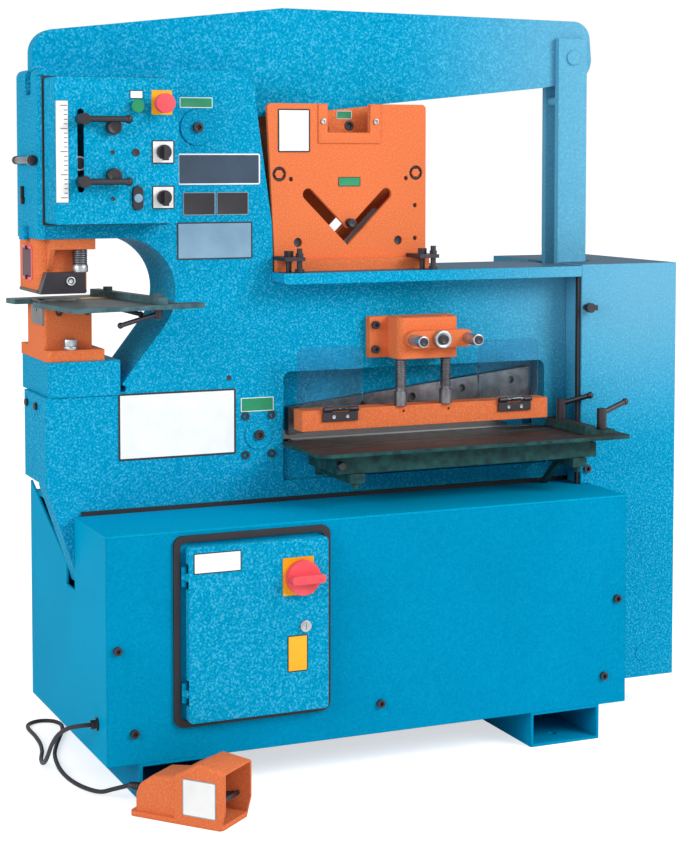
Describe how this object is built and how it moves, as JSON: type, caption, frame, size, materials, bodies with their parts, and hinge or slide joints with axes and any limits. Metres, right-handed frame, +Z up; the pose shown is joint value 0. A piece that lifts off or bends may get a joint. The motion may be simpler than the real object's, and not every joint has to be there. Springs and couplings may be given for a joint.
{
  "type": "hydraulic ironworker",
  "caption": "Hydraulic hinged-beam ironworker with punch throat, angle shear, flat bar shear with hold-down and table, control box, base cabinet and corded foot switch.",
  "frame": {"origin": "on the floor at the middle of the four anchor holes under the base cabinet", "axes": "+X to the right as seen from the working side, +Y to the back, +Z up"},
  "size_m": [1.5149, 0.8395, 1.608],
  "materials": {
    "blue_paint": "hammertone enamel",
    "orange_paint": "textured enamel",
    "machined_steel": "turned and ground",
    "blade_steel": "ground tool steel",
    "table_steel": "oiled mill plate",
    "black_oxide": "black oxide",
    "black_plastic": "moulded, satin",
    "rubber": "matte",
    "clear_guard": "clear sheet",
    "red_plastic": "moulded",
    "green_plastic": "moulded",
    "grey_paint": "smooth enamel",
    "zinc_plate": "zinc plated sheet"
  },
  "bodies": {
    "frame": {"fork_tubes": "blue_paint", "base_cabinet": "blue_paint", "front_panel": "blue_paint", "rubber_seals": "rubber", "front_side_plate": "blue_paint", "rear_side_plate": "blue_paint", "ram_housing": "blue_paint", "die_bolster": "blue_paint", "die_holder": "orange_paint", "punch_die": "machined_steel", "stripper_guard": "orange_paint", "stripper_foot": "black_oxide", "pivot_pins": "blue_paint", "deck_plate": "blue_paint", "angle_shear_housing": "orange_paint", "fixed_blades": "blade_steel", "shear_table": "table_steel", "table_brackets": "table_steel", "hold_down_housing": "orange_paint", "right_cover": "blue_paint", "control_box": "blue_paint", "cap_screws": "black_oxide", "electrical_tray": "zinc_plate", "hydraulic_pack": "grey_paint", "foot_switch_housing": "orange_paint", "cord_fittings": "black_plastic", "foot_switch_cord": "rubber", "punch_table": "table_steel"},
    "upper_arm": {"upper_arm": "blue_paint", "angle_blade_block": "orange_paint"},
    "tie_links": {"tie_links": "blue_paint"},
    "lower_arm": {"lower_arm": "blue_paint", "upper_blade": "blade_steel"},
    "cylinder_barrel": {"cylinder_barrel": "grey_paint"},
    "cylinder_rod": {"cylinder_rod": "machined_steel"},
    "punch_ram": {"punch_ram": "machined_steel", "punch": "blade_steel"},
    "hold_down": {"hold_down_bar": "orange_paint", "hold_down_rods": "machined_steel", "guard_hinges": "black_oxide"},
    "hold_down_handle": {"hold_down_handle": "orange_paint"},
    "left_guard": {"left_guard": "clear_guard"},
    "right_guard": {"right_guard": "clear_guard"},
    "punch_fence": {"punch_fence": "table_steel"},
    "fence_lever_front": {"fence_lever_front": "black_plastic"},
    "fence_lever_rear": {"fence_lever_rear": "black_plastic"},
    "side_guide": {"side_guide": "table_steel"},
    "guide_lever_front": {"guide_lever_front": "black_plastic"},
    "guide_lever_rear": {"guide_lever_rear": "black_plastic"},
    "start_button": {"start_button": "green_plastic"},
    "stop_button": {"stop_button": "red_plastic"},
    "jog_button": {"jog_button": "black_plastic"},
    "selector_upper": {"selector_upper": "black_plastic"},
    "selector_lower": {"selector_lower": "black_plastic"},
    "stroke_stop_upper": {"stroke_stop_upper": "black_plastic"},
    "stroke_stop_lower": {"stroke_stop_lower": "black_plastic"},
    "electrical_door": {"electrical_door": "blue_paint"},
    "door_lock": {"door_lock": "machined_steel"},
    "disconnect_handle": {"disconnect_handle": "red_plastic"},
    "foot_treadle": {"foot_treadle": "black_plastic"}
  },
  "joints": [
    {"name": "upper_arm_pivot", "type": "hinge", "parent": "frame", "child": "upper_arm", "pos_m": [-0.322, 0.018, 1.347], "axis": [0, 1, 0], "range_deg": [-5.7, 5.7]},
    {"name": "tie_link_pivot", "type": "hinge", "parent": "upper_arm", "child": "tie_links", "pos_m": [0.614, 0.018, 1.514], "axis": [0, 1, 0], "range_deg": [-6, 6]},
    {"name": "lower_arm_pivot", "type": "hinge", "parent": "frame", "child": "lower_arm", "pos_m": [-0.186, 0.018, 0.687], "axis": [0, 1, 0], "range_deg": [-7, 7]},
    {"name": "cylinder_pivot", "type": "hinge", "parent": "frame", "child": "cylinder_barrel", "pos_m": [0.614, 0.018, 0.15], "axis": [0, 1, 0], "range_deg": [-2, 2]},
    {"name": "piston_slide", "type": "slide", "parent": "cylinder_barrel", "child": "cylinder_rod", "axis": [0, 0, 1], "range_m": [-0.096, 0.096]},
    {"name": "ram_slide", "type": "slide", "parent": "frame", "child": "punch_ram", "axis": [0, 0, 1], "range_m": [-0.028, 0.028]},
    {"name": "hold_down_turn", "type": "hinge", "parent": "frame", "child": "hold_down_handle", "pos_m": [0.203, -0.114, 0.888], "axis": [0, 1, 0], "range_deg": [-41, 50]},
    {"name": "hold_down_slide", "type": "slide", "parent": "frame", "child": "hold_down", "axis": [0, 0, 1], "range_m": [-0.022, 0.018]},
    {"name": "left_guard_hinge", "type": "hinge", "parent": "hold_down", "child": "left_guard", "pos_m": [-0.018, -0.1245, 0.741], "axis": [1, 0, 0], "range_deg": [0, 95]},
    {"name": "right_guard_hinge", "type": "hinge", "parent": "hold_down", "child": "right_guard", "pos_m": [0.409, -0.1245, 0.741], "axis": [1, 0, 0], "range_deg": [0, 95]},
    {"name": "fence_slide", "type": "slide", "parent": "frame", "child": "punch_fence", "axis": [0.9877, 0.1564, 0], "range_m": [-0.024, 0.015]},
    {"name": "fence_lever_front_turn", "type": "hinge", "parent": "punch_fence", "child": "fence_lever_front", "pos_m": [-0.445, -0.17007, 0.966], "axis": [0, 0, 1], "range_deg": [-50, 50]},
    {"name": "fence_lever_rear_turn", "type": "hinge", "parent": "punch_fence", "child": "fence_lever_rear", "pos_m": [-0.48207, 0.06401, 0.966], "axis": [0, 0, 1], "range_deg": [-50, 0]},
    {"name": "guide_slide", "type": "slide", "parent": "frame", "child": "side_guide", "axis": [1, 0, 0], "range_m": [-0.02, 0.006]},
    {"name": "guide_lever_front_turn", "type": "hinge", "parent": "side_guide", "child": "guide_lever_front", "pos_m": [0.572, -0.228, 0.7], "axis": [0, 0, 1], "range_deg": [-60, 30]},
    {"name": "guide_lever_rear_turn", "type": "hinge", "parent": "side_guide", "child": "guide_lever_rear", "pos_m": [0.532, -0.118, 0.71], "axis": [0, 0, 1], "range_deg": [-30, 0]},
    {"name": "start_press", "type": "slide", "parent": "frame", "child": "start_button", "axis": [0, 1, 0], "range_m": [0, 0.004], "stiffness_N_per_m": 400},
    {"name": "stop_press", "type": "slide", "parent": "frame", "child": "stop_button", "axis": [0, 1, 0], "range_m": [0, 0.006]},
    {"name": "jog_press", "type": "slide", "parent": "frame", "child": "jog_button", "axis": [0, 1, 0], "range_m": [0, 0.003], "stiffness_N_per_m": 400},
    {"name": "selector_upper_turn", "type": "hinge", "parent": "frame", "child": "selector_upper", "pos_m": [-0.426, -0.16, 1.295], "axis": [0, 1, 0], "range_deg": [-45, 45]},
    {"name": "selector_lower_turn", "type": "hinge", "parent": "frame", "child": "selector_lower", "pos_m": [-0.426, -0.16, 1.202], "axis": [0, 1, 0], "range_deg": [-45, 45]},
    {"name": "stroke_stop_upper_slide", "type": "slide", "parent": "frame", "child": "stroke_stop_upper", "axis": [0, 0, 1], "range_m": [-0.045, 0.012]},
    {"name": "stroke_stop_lower_slide", "type": "slide", "parent": "frame", "child": "stroke_stop_lower", "axis": [0, 0, 1], "range_m": [-0.012, 0.045]},
    {"name": "door_hinge", "type": "hinge", "parent": "frame", "child": "electrical_door", "pos_m": [-0.437, -0.305, 0.33], "axis": [0, 0, -1], "range_deg": [0, 100]},
    {"name": "door_lock_turn", "type": "hinge", "parent": "electrical_door", "child": "door_lock", "pos_m": [-0.183, -0.322, 0.328], "axis": [0, 1, 0], "range_deg": [0, 90]},
    {"name": "disconnect_turn", "type": "hinge", "parent": "electrical_door", "child": "disconnect_handle", "pos_m": [-0.191, -0.33, 0.43], "axis": [0, 1, 0], "range_deg": [0, 90]},
    {"name": "treadle_hinge", "type": "hinge", "parent": "frame", "child": "foot_treadle", "pos_m": [-0.457, -0.42022, 0.026], "axis": [0.766, 0.6428, 0], "range_deg": [0, 8], "stiffness_Nm_per_rad": 6}
  ],
  "couplings": [
    {"joint": "tie_link_pivot", "follows": "upper_arm_pivot", "ratio": -1},
    {"joint": "lower_arm_pivot", "follows": "upper_arm_pivot", "ratio": 1.17},
    {"joint": "cylinder_pivot", "follows": "upper_arm_pivot", "ratio": 0.2456},
    {"joint": "piston_slide", "follows": "upper_arm_pivot", "m_per_rad": -0.936},
    {"joint": "ram_slide", "follows": "upper_arm_pivot", "m_per_rad": 0.278},
    {"joint": "hold_down_slide", "follows": "hold_down_turn", "m_per_rad": -0.024828}
  ]
}
